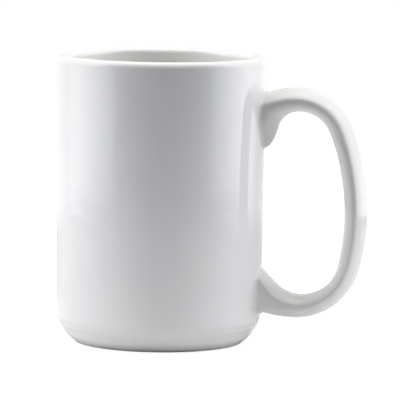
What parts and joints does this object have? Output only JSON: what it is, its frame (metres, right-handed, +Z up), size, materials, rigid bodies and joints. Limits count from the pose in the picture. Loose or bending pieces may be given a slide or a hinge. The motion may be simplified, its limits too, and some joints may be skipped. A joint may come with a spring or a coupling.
{
  "type": "ceramic mug",
  "caption": "Tall straight-sided glazed ceramic mug with a rounded lip, a stepped foot and a large loop handle for holding hot drinks.",
  "frame": {"origin": "centre of the foot ring's resting face, on the cup's axis", "axes": "+Z up along the cup's axis, +X from the axis towards the handle, +Y across the handle"},
  "size_m": [0.1285, 0.086, 0.118],
  "materials": {
    "bisque": "bare fired clay, fine matt grain",
    "slip": "fired slip, matt",
    "glaze": "clear white gloss glaze"
  },
  "bodies": {
    "root": {"mug_body": "bisque", "handle": "bisque", "upper_slip_joint": "slip", "lower_slip_joint": "slip", "outer_glaze": "glaze", "liner_glaze": "glaze", "handle_glaze": "glaze", "base_glaze": "glaze"}
  },
  "joints": []
}
